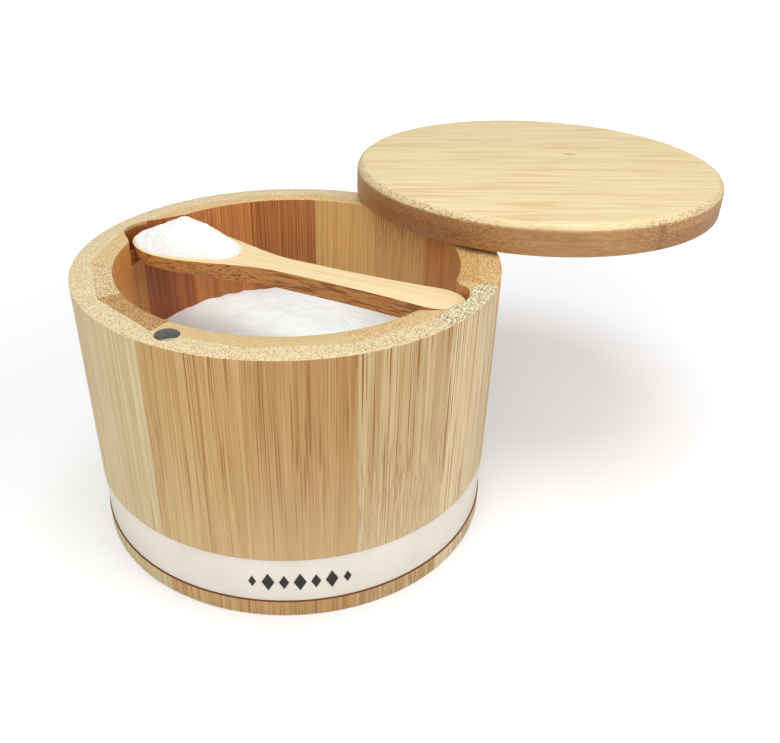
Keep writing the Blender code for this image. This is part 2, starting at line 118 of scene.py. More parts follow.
def roundShape(radius, depth, segments):
    # an upright disc about its own middle
    shape = bmesh.new()
    bmesh.ops.create_cone(shape, cap_ends=True, segments=segments, radius1=radius, radius2=radius,
                          depth=depth)
    return shape


def cutRound(piece, centre, radius, low, high, segments=64):
    # bores an upright round hole
    shape = roundShape(radius, high - low, segments)
    bmesh.ops.translate(shape, verts=shape.verts, vec=(centre[0], centre[1], (low + high) / 2))
    cutWith(piece, finishShape("cutter", shape))


def flatCurve(name, height, smooth, count):
    # a closed plan outline, filled and given a height, with its knots still to be placed
    curve = bpy.data.curves.new(name, "CURVE")
    curve.dimensions = "2D"
    curve.fill_mode = "BOTH"
    curve.extrude = height / 2
    curve.resolution_u = smooth
    line = curve.splines.new("BEZIER")
    line.use_cyclic_u = True
    line.bezier_points.add(count - 1)
    return curve, line.bezier_points


def curveShape(curve):
    outline = addObject(curve.name, curve)
    shape = bmesh.new()
    shape.from_mesh(evaluatedMesh(outline))
    bpy.data.objects.remove(outline, do_unlink=True)
    bmesh.ops.remove_doubles(shape, verts=shape.verts, dist=tiny["curve"])
    return shape


def cutPocket(piece, points):
    # cuts a smooth plan outline down to the pocket's floor
    low, high = pockets["floor"], pockets["over"]
    curve, knots = flatCurve("pocket", high - low, pockets["smooth"], len(points))
    for knot, (along, across, sharp) in zip(knots, points):
        knot.co = spoonPoint(along, across)
        knot.handle_left_type = knot.handle_right_type = "VECTOR" if sharp else "AUTO"
    shape = curveShape(curve)
    bmesh.ops.translate(shape, verts=shape.verts, vec=(0, 0, (high + low) / 2))
    cutWith(piece, finishShape("cutter", shape))


def turnedRing(name, size, steps=224):
    # an upright ring of square section
    shape = bmesh.new()
    profile = ((size["inside"], size["low"]), (size["outside"], size["low"]),
               (size["outside"], size["high"]), (size["inside"], size["high"]))
    ring = [shape.verts.new((radius, 0.0, height)) for radius, height in profile]
    sides = [shape.edges.new(pair) for pair in zip(ring, ring[1:] + ring[:1])]
    bmesh.ops.spin(shape, geom=ring + sides, cent=(0, 0, 0), axis=upAxis, angle=2 * math.pi,
                   steps=steps, use_merge=True)
    return finishShape(name, shape)


def sharpEdges(shape, degrees=30.0):
    return [e for e in shape.edges
            if len(e.link_faces) == 2 and e.calc_face_angle(0.0) > math.radians(degrees)]


def easeEdges(shape, edges, width, segments=2):
    bmesh.ops.bevel(shape, geom=edges, offset=width, segments=segments, profile=0.5,
                    affect="EDGES", material=-1, clamp_overlap=True)


def slicePlane(shape, spot, direction, **cleared):
    # cuts along a plane, takes one side away and closes the opening
    cut = bmesh.ops.bisect_plane(shape, geom=shape.verts[:] + shape.edges[:] + shape.faces[:],
                                 dist=tiny["plane"], plane_co=spot, plane_no=direction, **cleared)
    bmesh.ops.holes_fill(shape, sides=0, edges=[
        e for e in cut["geom_cut"] if isinstance(e, bmesh.types.BMEdge)])


def place(piece, body, slotName, *nodes):
    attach(piece, body)
    if nodes:
        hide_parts(*nodes)


def paint(piece, material):
    piece.data.materials.clear()
    piece.data.materials.append(material)


# material helpers

def newMaterial(name):
    material = bpy.data.materials.new(name)
    material.use_nodes = True
    tree = material.node_tree
    return material, tree, tree.nodes["Principled BSDF"]


def addNode(tree, kind, **values):
    node = tree.nodes.new(kind)
    for name, value in values.items():
        if hasattr(node, name):
            setattr(node, name, value)
        else:
            node.inputs[name.replace("_", " ")].default_value = value
    return node


def connect(tree, source, target):
    tree.links.new(source, target)


def newGroup(name, inputs, outputs):
    group = bpy.data.node_groups.new(name, "ShaderNodeTree")
    for label, kind, value in inputs:
        socket = group.interface.new_socket(name=label, in_out="INPUT", socket_type=kind)
        if value is not None:
            socket.default_value = value
    for label, kind in outputs:
        group.interface.new_socket(name=label, in_out="OUTPUT", socket_type=kind)
    return group, group.nodes.new("NodeGroupInput"), group.nodes.new("NodeGroupOutput")


def mathNode(tree, operation, first, second):
    node = tree.nodes.new("ShaderNodeMath")
    node.operation = operation
    for socket, value in zip(node.inputs, (first, second)):
        if isinstance(value, (int, float)):
            socket.default_value = value
        else:
            connect(tree, value, socket)
    return node.outputs[0]


def spreadOut(tree, value, low, high, toLow=0.0, toHigh=1.0):
    node = tree.nodes.new("ShaderNodeMapRange")
    node.clamp = True
    node.interpolation_type = "SMOOTHSTEP"
    connect(tree, value, node.inputs["Value"])
    for label, number in (("From Min", low), ("From Max", high), ("To Min", toLow), ("To Max", toHigh)):
        node.inputs[label].default_value = number
    return node.outputs["Result"]


def mixColour(tree, factor, first, second, blend="MIX"):
    node = tree.nodes.new("ShaderNodeMix")
    node.data_type = "RGBA"
    node.blend_type = blend
    for socket, value in ((node.inputs[0], factor), (node.inputs[6], first), (node.inputs[7], second)):
        if isinstance(value, (int, float, list, tuple)):
            socket.default_value = value
        else:
            connect(tree, value, socket)
    return node.outputs[2]


def blended(tree, value, span, colours):
    first, second = (hexColour(text) for text in colours)
    return mixColour(tree, spreadOut(tree, value, *span), first, second)


def stretched(tree, vector, factors):
    node = tree.nodes.new("ShaderNodeVectorMath")
    node.operation = "MULTIPLY"
    connect(tree, vector, node.inputs[0])
    node.inputs[1].default_value = factors
    return node.outputs[0]


def noiseAt(tree, vector, scale, detail=2.0, roughness=0.55):
    node = tree.nodes.new("ShaderNodeTexNoise")
    node.inputs["Scale"].default_value = scale
    node.inputs["Detail"].default_value = detail
    node.inputs["Roughness"].default_value = roughness
    connect(tree, vector, node.inputs["Vector"])
    return node.outputs["Fac"]


def heightOf(tree, vector):
    node = addNode(tree, "ShaderNodeSeparateXYZ")
    connect(tree, vector, node.inputs[0])
    return node.outputs["Z"]


def lengthOf(tree, vector):
    node = addNode(tree, "ShaderNodeVectorMath", operation="LENGTH")
    connect(tree, vector, node.inputs[0])
    return node.outputs["Value"]


def sumOf(tree, first, second):
    node = addNode(tree, "ShaderNodeVectorMath", operation="ADD")
    connect(tree, first, node.inputs[0])
    connect(tree, second, node.inputs[1])
    return node.outputs[0]


def mapped(tree, vector, kind, **settings):
    node = addNode(tree, "ShaderNodeMapping", vector_type=kind, **settings)
    connect(tree, vector, node.inputs["Vector"])
    return node.outputs[0]


def addRelief(tree, shader, height, strength, distance):
    relief = addNode(tree, "ShaderNodeBump", Strength=strength, Distance=distance)
    connect(tree, height, relief.inputs["Height"])
    connect(tree, relief.outputs[0], shader.inputs["Normal"])


# per layer: squeeze along the fibre, scale, detail, roughness
fibreLayers = {
    "fine": (0.006, 4200.0, 2.0, 0.6), "middle": (0.005, 1900.0, 2.0, 0.55),
    "wide": (0.04, 210.0, 2.0, 0.5), "line": (0.007, 3300.0, 1.5, 0.5),
    "fleck": (0.065, 2700.0, 1.0, 0.5), "broad": (0.10, 330.0, 2.0, 0.55),
}
fibreShares = {"fine": 0.46, "middle": 0.34, "wide": 0.20}
fibreSpans = {"Grain": (0.37, 0.63), "Line": (0.57, 0.65), "Fleck": (0.50, 0.62),
              "Broad": (0.45, 0.72), "Dots": (0.25, 0.46)}
fibreDrift = {"scale": 70.0, "stretch": (1.6, 1.6, 0.22), "pull": (0.0009, 0.0009, 0.0)}
fibreCells = {"scale": 2050.0, "squeeze": 0.02}


def makeFibreGroup():
    # fibres along Z: long streaks on the faces beside it, dots on the faces across it
    group, start, end = newGroup(
        "bambooFibre",
        [("Vector", "NodeSocketVector", None), ("Seed", "NodeSocketFloat", 0.0)],
        [("Grain", "NodeSocketFloat"), ("Line", "NodeSocketFloat"), ("Fleck", "NodeSocketFloat"),
         ("Dots", "NodeSocketFloat"), ("Fine", "NodeSocketFloat"), ("Broad", "NodeSocketFloat")])
    shift = addNode(group, "ShaderNodeCombineXYZ")
    for socket in shift.inputs:
        connect(group, start.outputs["Seed"], socket)
    moved = sumOf(group, start.outputs["Vector"], shift.outputs[0])
    drift = addNode(group, "ShaderNodeTexNoise", Scale=fibreDrift["scale"], Detail=1.0)
    connect(group, stretched(group, moved, fibreDrift["stretch"]), drift.inputs["Vector"])
    vector = sumOf(group, moved, stretched(group, drift.outputs["Color"], fibreDrift["pull"]))

    layers = {name: noiseAt(group, stretched(group, vector, (1.0, 1.0, squeeze)), *settings)
              for name, (squeeze, *settings) in fibreLayers.items()}
    parts = [mathNode(group, "MULTIPLY", layers[name], share) for name, share in fibreShares.items()]
    mixed = mathNode(group, "ADD", mathNode(group, "ADD", parts[0], parts[1]), parts[2])
    cells = addNode(group, "ShaderNodeTexVoronoi", Scale=fibreCells["scale"], Randomness=1.0)
    connect(group, stretched(group, vector, (1.0, 1.0, fibreCells["squeeze"])), cells.inputs["Vector"])

    for label, value in (("Grain", mixed), ("Line", layers["line"]), ("Fleck", layers["fleck"]),
                         ("Broad", layers["broad"])):
        connect(group, spreadOut(group, value, *fibreSpans[label]), end.inputs[label])
    connect(group, spreadOut(group, cells.outputs["Distance"], *fibreSpans["Dots"], 1.0, 0.0),
            end.inputs["Dots"])
    connect(group, layers["fine"], end.inputs["Fine"])
    return group


fibreGroup = makeFibreGroup()

bambooLook = {
    "sidePale": "E3C291", "sideMiddle": "CFA26B", "sideDark": "A8713D",
    "endPale": "E9D6A6", "endDark": "B98F55", "dots": 0.55,
    "fleck": 0.0, "fleckLow": 0.0, "fleckHigh": 0.02, "fleckDark": "9A6636",
    "rough": 0.50, "bump": 0.25, "seed": 0.0, "grainTurn": None, "line": 0.6, "upright": None,
    "broad": 0.0, "spotsAndShade": (), "endFrom": 0.35, "edgeFleck": 0.0, "cutShadeWithin": 0.0,
    "cutShadeTone": "C68E58", "glueAndShadeMarks": (), "glueAndShadeDark": "6E4526", "foot": 0.0, "footTone": "EBD3A6",
}
# heights in metres, and the Z part of a face's direction, over which a tone changes
bambooSpans = {
    "foot": (0.0, 0.062), "lip": (0.0043, 0.0060), "lipShare": 0.15, "belowRim": (0.0655, 0.0662),
    "cutShadeSoft": 0.0008, "lying": (0.45, 0.80), "edge": (0.10, 0.45), "endSoft": 0.4,
    "endFine": (0.38, 0.66), "endFineShare": 0.5, "relief": 0.00006, "spot": (0.2, 1.0),
}


def bamboo(name, **changes):
    look = dict(bambooLook, **changes)
    material, tree, shader = newMaterial(name)
    source = addNode(tree, "ShaderNodeTexCoord")
    spot, facing = source.outputs["Object"], source.outputs["Normal"]
    position, normal = spot, facing
    if look["grainTurn"] is not None:
        # turns the fibre direction to Z
        upright = (0.0, math.pi / 2, look["grainTurn"])
        position = mapped(tree, spot, "TEXTURE", Rotation=upright)
        normal = mapped(tree, facing, "TEXTURE", Rotation=upright)

    fibre = addNode(tree, "ShaderNodeGroup", node_tree=fibreGroup)
    fibre.inputs["Seed"].default_value = look["seed"]
    connect(tree, position, fibre.inputs["Vector"])

    ramp = addNode(tree, "ShaderNodeValToRGB")
    stops = ramp.color_ramp.elements
    stops[0].position, stops[0].color = 0.0, hexColour(look["sideMiddle"])
    stops[1].position, stops[1].color = 1.0, hexColour(look["sidePale"])
    connect(tree, fibre.outputs["Grain"], ramp.inputs["Fac"])
    side = ramp.outputs["Color"]
    for label, key in (("Line", "line"), ("Broad", "broad")):
        if look[key] > 0.0:
            side = mixColour(tree, mathNode(tree, "MULTIPLY", fibre.outputs[label], look[key]), side,
                             hexColour(look["sideDark"]))
    if look["fleck"] > 0.0:
        # short dashes, fading out between two heights
        mask = mathNode(tree, "MULTIPLY", fibre.outputs["Fleck"],
                        spreadOut(tree, heightOf(tree, position), look["fleckLow"],
                                  look["fleckHigh"], look["fleck"], 0.0))
        side = mixColour(tree, mask, side, hexColour(look["fleckDark"]))
    if look["foot"] > 0.0:
        # staves grow paler towards the foot, above the base lip
        rise = heightOf(tree, spot)
        paler = mathNode(tree, "MULTIPLY",
                         spreadOut(tree, rise, *bambooSpans["foot"], look["foot"], 0.0),
                         spreadOut(tree, rise, *bambooSpans["lip"], bambooSpans["lipShare"], 1.0))
        side = mixColour(tree, paler, side, hexColour(look["footTone"]))

    endDark = hexColour(look["endDark"])
    endTone = mixColour(tree, mathNode(tree, "MULTIPLY", fibre.outputs["Dots"], look["dots"]),
                        hexColour(look["endPale"]), endDark)
    endTone = mixColour(tree, spreadOut(tree, fibre.outputs["Fine"], *bambooSpans["endFine"], 0.0,
                                        bambooSpans["endFineShare"]), endTone, endDark)
    across = mathNode(tree, "ABSOLUTE", heightOf(tree, normal), 0.0)
    ends = spreadOut(tree, across, look["endFrom"], look["endFrom"] + bambooSpans["endSoft"])
    tone = mixColour(tree, ends, side, endTone)
    level = heightOf(tree, facing)
    edge = spreadOut(tree, level, *bambooSpans["edge"], 1.0, 0.0)
    if look["cutShadeWithin"] > 0.0:
        # painted shade: walls and floors cut below the rim, in the pockets under the spoon, are darkened
        reach = lengthOf(tree, stretched(tree, spot, (1.0, 1.0, 0.0)))
        inside = spreadOut(tree, reach, look["cutShadeWithin"] - bambooSpans["cutShadeSoft"],
                           look["cutShadeWithin"], 1.0, 0.0)
        lying = spreadOut(tree, level, *bambooSpans["lying"])
        cut = mathNode(tree, "MULTIPLY", mathNode(tree, "MAXIMUM", inside, lying),
                       spreadOut(tree, heightOf(tree, spot), *bambooSpans["belowRim"], 1.0, 0.0))
        tone = mixColour(tree, cut, tone,
                         mixColour(tree, 1.0, tone, hexColour(look["cutShadeTone"]), "MULTIPLY"))
    if look["upright"]:
        # sawn edges take the finish darker than the planed faces; the same darkening also paints shade on
        # every upright side, which the top light leaves darker
        sawnAndShaded = mixColour(tree, 1.0, tone, hexColour(look["upright"]), "MULTIPLY")
        sawnAndShaded = mixColour(tree, mathNode(tree, "MULTIPLY", fibre.outputs["Fleck"], look["edgeFleck"]),
                         sawnAndShaded, hexColour(look["fleckDark"]))
        tone = mixColour(tree, edge, tone, sawnAndShaded)
    for low, high, soft, strength in look["glueAndShadeMarks"]:
        # glue lines, which are dark joints, and painted shade in the groove under the label band, dark
        # between two heights
        away = mathNode(tree, "ABSOLUTE", mathNode(tree, "SUBTRACT", heightOf(tree, spot),
                                                   (low + high) / 2), 0.0)
        half = (high - low) / 2
        mask = spreadOut(tree, away, half - soft, half + soft, strength, 0.0)
        tone = mixColour(tree, mask, tone, hexColour(look["glueAndShadeDark"]))
    for x, y, length, width, strength, spotAndShadeTone, onEdge in look["spotsAndShade"]:
        # darker places in the wood, and painted shade on the lid's left edge: ellipses along the grain,
        # some only on the sawn edge
        centred = mapped(tree, spot, "POINT", Location=(-x, -y, 0.0))
        oval = mapped(tree, centred, "TEXTURE", Rotation=(0.0, 0.0, look["grainTurn"]),
                      Scale=(length, width, 1.0))
        mask = spreadOut(tree, lengthOf(tree, oval), *bambooSpans["spot"], strength, 0.0)
        if onEdge:
            mask = mathNode(tree, "MULTIPLY", mask, edge)
        tone = mixColour(tree, mask, tone, hexColour(spotAndShadeTone))
    connect(tree, tone, shader.inputs["Base Color"])

    connect(tree, spreadOut(tree, fibre.outputs["Grain"], 0.0, 1.0, look["rough"] + 0.08,
                            look["rough"] - 0.05), shader.inputs["Roughness"])
    addRelief(tree, shader, fibre.outputs["Grain"], look["bump"], bambooSpans["relief"])
    return material


def grainyWhite(name, colour, scale, bump, saltGlow=0.0):
    material, tree, shader = newMaterial(name)
    shader.inputs["Specular IOR Level"].default_value = 0.35
    # painted light: a faint glow that brightens the salt bed, standing for the light that the crystals
    # pass on to one another
    shader.inputs["Emission Color"].default_value = (0.94, 0.97, 1.0, 1.0)
    shader.inputs["Emission Strength"].default_value = saltGlow
    source = addNode(tree, "ShaderNodeTexCoord")
    speck = noiseAt(tree, source.outputs["Object"], scale, 2.0, 0.7)
    soft = noiseAt(tree, source.outputs["Object"], scale * 0.12, 2.0, 0.5)
    tone = blended(tree, speck, (0.3, 0.7), colour)
    tone = mixColour(tree, spreadOut(tree, soft, 0.3, 0.7, 0.0, 0.25), tone, hexColour(colour[0]))
    connect(tree, tone, shader.inputs["Base Color"])
    connect(tree, spreadOut(tree, speck, 0.3, 0.7, 0.75, 0.35), shader.inputs["Roughness"])
    addRelief(tree, shader, speck, bump, 0.00015)
    return material


def brushedMetal(name, colour, rough):
    material, tree, shader = newMaterial(name)
    shader.inputs["Metallic"].default_value = 1.0
    source = addNode(tree, "ShaderNodeTexCoord")
    cloud = noiseAt(tree, source.outputs["Object"], 900.0, 3.0, 0.6)
    connect(tree, blended(tree, cloud, (0.35, 0.65), colour), shader.inputs["Base Color"])
    connect(tree, spreadOut(tree, cloud, 0.3, 0.7, rough, rough + 0.12), shader.inputs["Roughness"])
    return material


print("materials ready")

# camera, as the photograph was taken

view = {
    "place": (0.0, -0.17877, 0.14059), "yaw": 0.0823, "down": 0.5449, "roll": 0.0069,
    "lens": 37.134, "shift": (0.0517, 0.0094),
}


def makeCamera():
    forward = Vector((math.sin(view["yaw"]) * math.cos(view["down"]),
                      math.cos(view["yaw"]) * math.cos(view["down"]), -math.sin(view["down"])))
    right = forward.cross(upAxis).normalized()
    up = right.cross(forward)
    right, up = (right * math.cos(view["roll"]) + up * math.sin(view["roll"]),
                 up * math.cos(view["roll"]) - right * math.sin(view["roll"]))
    camera = addObject("camera", bpy.data.cameras.new("camera"))
    camera.matrix_world = Matrix((right, up, -forward)).transposed().to_4x4()
    camera.location = view["place"]
    camera.data.lens = view["lens"]
    camera.data.sensor_width = 36.0
    camera.data.shift_x, camera.data.shift_y = view["shift"]
    camera.data.clip_start = 0.01
    bpy.context.scene.camera = camera


makeCamera()

# body: fourteen staves of two plies

groove = {"low": 0.0042, "high": 0.0168, "depth": 0.0019}
staveEase = {"rim": 0.00025, "joint": 0.00006}
# the rim's magnet and the lid's pivot, with the bores made for them
magnet = {"radius": 0.0025, "low": 0.0637, "high": 0.0669, "lidLow": 0.06772, "lidHigh": 0.0697,
          "ease": 0.0003, "bore": 0.00256, "boreLow": 0.0636, "lidBoreLow": 0.06, "lidBore": 0.0021}
pin = {"radius": 0.0015, "low": 0.0577, "high": 0.0726, "ease": 0.0002, "bore": 0.0017,
       "boreLow": 0.0574}
boreHigh = 0.07
magnetSpot = bearingPoint(jar["rimMiddle"], math.radians(-32.2))
pivotSpot = bearingPoint(jar["rimMiddle"], math.radians(146.4))
spoonTurn = math.radians(-31.8)


def spoonPoint(along, across=-0.0018):
    # a plan point by its distance along the spoon's chord from the middle
    return Matrix.Rotation(spoonTurn, 3, "Z") @ Vector((along, across, 0.0))


# plan of each pocket along and across the spoon; True where the outline turns sharply
pockets = {
    "bowl": ((-0.0300, 0.0118, True), (-0.0386, 0.0118, True), (-0.0396, 0.0098, False),
             (-0.0412, 0.0074, False), (-0.0424, 0.0052, False), (-0.0443, 0.0028, False),
             (-0.0459, -0.0004, False), (-0.0460, -0.0031, False), (-0.0457, -0.0046, False),
             (-0.04475, -0.0061, False), (-0.0433, -0.0075, False), (-0.0406, -0.0096, False),
             (-0.0386, -0.0114, True), (-0.0300, -0.0114, True)),
    "handle": ((0.0340, -0.0124, True), (0.0383, -0.0124, True), (0.0400, -0.0119, False),
               (0.0410, -0.0113, False), (0.0426, -0.0102, False), (0.0437, -0.0090, False),
               (0.0447, -0.0066, False), (0.0456, -0.0043, False), (0.0459, -0.0018, False),
               (0.0455, 0.0002, False), (0.0449, 0.0014, False), (0.0442, 0.0024, False),
               (0.0432, 0.0033, False), (0.0420, 0.0032, True), (0.0412, 0.0046, False),
               (0.0400, 0.0056, True), (0.0340, 0.0056, True)),
    "floor": 0.0603, "over": 0.0700, "smooth": 6,
}

outerLooks = {
    1: dict(sidePale="CAA066", sideMiddle="AE824A", sideDark="94501A", line=0.75, foot=0.38,
            footTone="F0D8A6"),
    2: dict(sidePale="D4BC8C", sideMiddle="B68E58", sideDark="98581E", endDark="9E6C2E", line=1.0,
            fleck=0.9, fleckLow=0.034, fleckHigh=0.052, fleckDark="A87238", foot=0.5, footTone="F0DEB6"),
    3: dict(sidePale="EEDAB0", sideMiddle="CBAA7A", sideDark="98622E", endPale="F6E8C0",
            endDark="4A3420", dots=1.0, line=1.0),
    4: dict(endPale="E8C88C", endDark="8E5A28", dots=1.0, line=0.9),
    12: dict(sidePale="E6D1A4", sideMiddle="D0B486", sideDark="AD8754"),
    13: dict(sidePale="E4D1A4", sideMiddle="CAAE7E", sideDark="A47C4A", endDark="A98850", foot=0.2),
    14: dict(sidePale="D6B278", sideMiddle="BA8E50", sideDark="96561C", line=0.8, foot=0.32,
             footTone="F0D8A6"),
}
innerLooks = {
    1: dict(endPale="DEC490", endDark="B08850", dots=0.4),
    3: dict(endDark="A0703A", sidePale="D69A58", sideMiddle="C28446"),
    4: dict(endPale="E4BC78", endDark="8A5426", dots=1.0, sidePale="C98C50", sideMiddle="A96A34",
            sideDark="7E451F"),
    5: dict(sidePale="CE8E50", sideMiddle="B4743A", sideDark="8E4E20", line=0.8),
    # staves 6 and 7 are painted paler: painted light on the right inner wall, where the lid shades it
    6: dict(sidePale="D7A967", sideMiddle="C49252", sideDark="A06731", fleck=0.5, fleckLow=0.060,
            fleckHigh=0.050, fleckDark="9A5B2A"),
    7: dict(sidePale="DAAD6A", sideMiddle="C99A56", sideDark="AD763D", line=0.5),
    8: dict(sidePale="BA7638", sideMiddle="9A5A26", sideDark="703610", line=0.8),
    9: dict(sidePale="CC8646", sideMiddle="B06A32", sideDark="84441A", line=0.8),
    # stave 10's darker tone is painted shadow: the spoon's shadow on the inner wall
    10: dict(sidePale="BC6C2A", sideMiddle="8E4816", sideDark="5E2A0A"),
    11: dict(sidePale="D6984E", sideMiddle="C2823C", sideDark="945020"),
    12: dict(endPale="EAD3A0", endDark="8A5E34", dots=1.0, sidePale="D89C5C", sideMiddle="C58748"),
    13: dict(endPale="CEA266", endDark="70431E", dots=1.0),
    14: dict(endPale="DEC490", endDark="B08850", dots=0.4),
}
# the cut-face tone within this radius paints shade into the pockets under the spoon
outerBase = dict(cutShadeWithin=0.0476, sidePale="DEBF8A", sideMiddle="C89F68", sideDark="A2703C",
                 endPale="EBDCB2", endDark="AE854C", dots=0.75,
                 # this band of heights is painted shade in the groove, seen as the dark line above the lip
                 glueAndShadeMarks=((0.00418, 0.01682, 0.00002, 0.85),), glueAndShadeDark="74401E", foot=0.3)
# the cut-face tone here paints shade on the pocket floors
innerBase = dict(cutShadeWithin=0.0300, sidePale="BE7A39", sideMiddle="A66129", sideDark="804218",
                 endPale="E4C890", endDark="A87844", dots=0.7)


def makePly(number, ply):
    middle = staveMiddle(number)
    low, high = 0.0, jar["height"]
    if ply == "outer":
        inside = jar["radius"] - groove["depth"]
        profile = [(jar["cup"], low), (jar["radius"], low), (jar["radius"], groove["low"]),
                   (inside, groove["low"]), (inside, groove["high"]),
                   (jar["radius"], groove["high"]), (jar["radius"], high), (jar["cup"], high)]
    else:
        profile = [(jar["cup"], low), (jar["radius"], low), (jar["radius"], high), (jar["cup"], high)]
    shape = bmesh.new()
    face = shape.faces.new([shape.verts.new((radius, 0.0, height)) for radius, height in profile])
    sweep = 2 * halfStave - jar["joint"] / jar["radius"]
    bmesh.ops.rotate(shape, verts=shape.verts, cent=(0, 0, 0),
                     matrix=Matrix.Rotation(middle - sweep / 2 - math.pi / 2, 3, "Z"))
    bmesh.ops.spin(shape, geom=[face], cent=(0, 0, 0), axis=upAxis, angle=sweep,
                   steps=jar["stepsPerStave"])
    side = 1.0 if ply == "outer" else -1.0
    flat = bearingPoint(jar["glueFlat"] + side * jar["joint"] / 2, middle)
    slicePlane(shape, flat, bearingPoint(side, middle), clear_inner=True)
    bmesh.ops.recalc_face_normals(shape, faces=shape.faces)

    def onRim(edge):
        reach = [math.hypot(v.co.x, v.co.y) for v in edge.verts]
        if abs(edge.verts[0].co.z - edge.verts[1].co.z) >= tiny["edge"]:
            return False
        if ply == "inner":
            return max(reach) < jar["cup"] + tiny["edge"]
        return (min(reach) > jar["radius"] - tiny["edge"]
                and all(abs(v.co.z - high / 2) > high * 0.49 for v in edge.verts))

    rims = [e for e in sharpEdges(shape) if onRim(e)]
    easeEdges(shape, rims, staveEase["rim"], 3)
    joints = [e for e in sharpEdges(shape, 40.0)
              if abs(e.verts[0].co.z - e.verts[1].co.z) > 0.001
              or max(v.co.z for v in e.verts) > high - tiny["edge"]]
    easeEdges(shape, joints, staveEase["joint"], 1)
    piece = finishShape(f"{ply}Stave{number:02d}", shape)
    if number in (10, 11):
        cutPocket(piece, pockets["bowl"])
    if number == 3:
        cutPocket(piece, pockets["handle"])
    if number == 14:
        cutRound(piece, magnetSpot, magnet["bore"], magnet["boreLow"], boreHigh)
    if number == 7:
        cutRound(piece, pivotSpot, pin["bore"], pin["boreLow"], boreHigh, segments=32)
    base = outerBase if ply == "outer" else innerBase
    looks = outerLooks if ply == "outer" else innerLooks
    seed = number * 0.37 + (0.0 if ply == "outer" else 5.0)
    look = {**base, **looks.get(number, {}), "seed": seed}
    paint(piece, bamboo(f"bamboo_{ply}_{number:02d}", **look))
    place(piece, "jar", f"bamboo_{ply}", f"stave_{ply}_{number:02d}")


for staveNumber in range(1, jar["staves"] + 1):
    makePly(staveNumber, "outer")
    makePly(staveNumber, "inner")
print("staves made")

# floor under the salt

floorDisc = {"radius": 0.04045, "height": 0.0070, "ease": 0.0002, "steps": 168}


def makeFloor():
    shape = roundShape(floorDisc["radius"], floorDisc["height"], floorDisc["steps"])
    bmesh.ops.translate(shape, verts=shape.verts, vec=(0, 0, floorDisc["height"] / 2))
    easeEdges(shape, sharpEdges(shape), floorDisc["ease"])
    piece = finishShape("floorDisc", shape)
    paint(piece, bamboo("bamboo_floor", grainTurn=0.3, seed=2.2, sidePale="E0C08E",
                        sideMiddle="CFA66E", sideDark="AE7B45"))
    place(piece, "jar", "bamboo_floor", "floor_disc")


makeFloor()

# label band and its ornament

band = {"outside": 0.0497, "inside": 0.04815, "low": 0.00425, "high": 0.01675, "soften": 0.00035,
        "colour": ("EEE6D9", "F4EDE1")}
ornament = {"copies": 4, "lozenges": 7, "spacing": math.radians(4.1), "width": 0.0028,
            "height": 0.0050, "middle": 0.0101, "thickness": 0.00012, "sunk": 0.00005,
            "colour": ("1B1917", "2A2724")}


def siliconeLook(name, colours, rough, grain):
    material, tree, shader = newMaterial(name)
    source = addNode(tree, "ShaderNodeTexCoord")
    cloud = noiseAt(tree, source.outputs["Object"], 90.0, 2.0, 0.5)
    fine = noiseAt(tree, source.outputs["Object"], grain, 2.0, 0.6)
    connect(tree, blended(tree, cloud, (0.3, 0.7), colours), shader.inputs["Base Color"])
    connect(tree, spreadOut(tree, fine, 0.3, 0.7, rough, rough + 0.1), shader.inputs["Roughness"])
    addRelief(tree, shader, fine, 0.12, 0.00004)
    return material


def makeBand():
    piece = turnedRing("labelBand", band)
    shape = bmesh.new()
    shape.from_mesh(piece.data)
    edge = [e for e in sharpEdges(shape)
            if all(math.hypot(v.co.x, v.co.y) > band["outside"] - 0.0001 for v in e.verts)]
    easeEdges(shape, edge, band["soften"], 4)
    shape.to_mesh(piece.data)
    shape.free()
    shadeMesh(piece.data)
    paint(piece, siliconeLook("ivory_silicone", band["colour"], 0.38, 2500.0))
    place(piece, "jar", "silicone_band", "label_band")


def makeOrnament():
    # a plain row of lozenges, every second one large, printed four times
    shape = bmesh.new()
    half = (ornament["lozenges"] - 1) / 2
    for copy in range(ornament["copies"]):
        for item in range(ornament["lozenges"]):
            away = abs(item - half) / half
            size = 1.0 if item % 2 else 0.62 + 0.25 * (1.0 - away)
            made = bmesh.ops.create_circle(shape, cap_ends=True, segments=4, radius=0.5)
            corners = made["verts"]
            face = corners[0].link_faces[0]
            raised = bmesh.ops.extrude_face_region(shape, geom=[face])
            lifted = [v for v in raised["geom"] if isinstance(v, bmesh.types.BMVert)]
            corners += lifted
            turn = copy * 2 * math.pi / ornament["copies"] + (item - half) * ornament["spacing"]
            for v in corners:
                across = v.co.x * ornament["width"] * size
                height = ornament["middle"] + v.co.y * ornament["height"] * size
                out = band["outside"] + (ornament["thickness"] if v in lifted else -ornament["sunk"])
                v.co = bearingPoint(out, turn + across / band["outside"], height)
    piece = finishShape("bandOrnament", shape)
    paint(piece, siliconeLook("black_print", ornament["colour"], 0.42, 1800.0))
    place(piece, "jar", "silicone_band")


makeBand()
makeOrnament()
print("band made")

# lid: two plies of six strips

lid = {
    "radius": 0.0500, "bottom": 0.0677, "ply": 0.00405, "round": 0.0022, "roundSteps": 6,
    "closed": math.radians(-133.4), "open": math.radians(128.5),
    "edges": (-0.0444, -0.0222, 0.0, 0.0222, 0.0444),
    "joint": 0.00002, "glueEase": 0.00005, "underEase": 0.0003, "steps": 168,
    "strips": 6, "glueMark": 0.00011,
}
lidCentre = pivotSpot + Matrix.Rotation(lid["open"], 3, "Z") @ (-pivotSpot)
lidGrain = lid["closed"] + lid["open"]
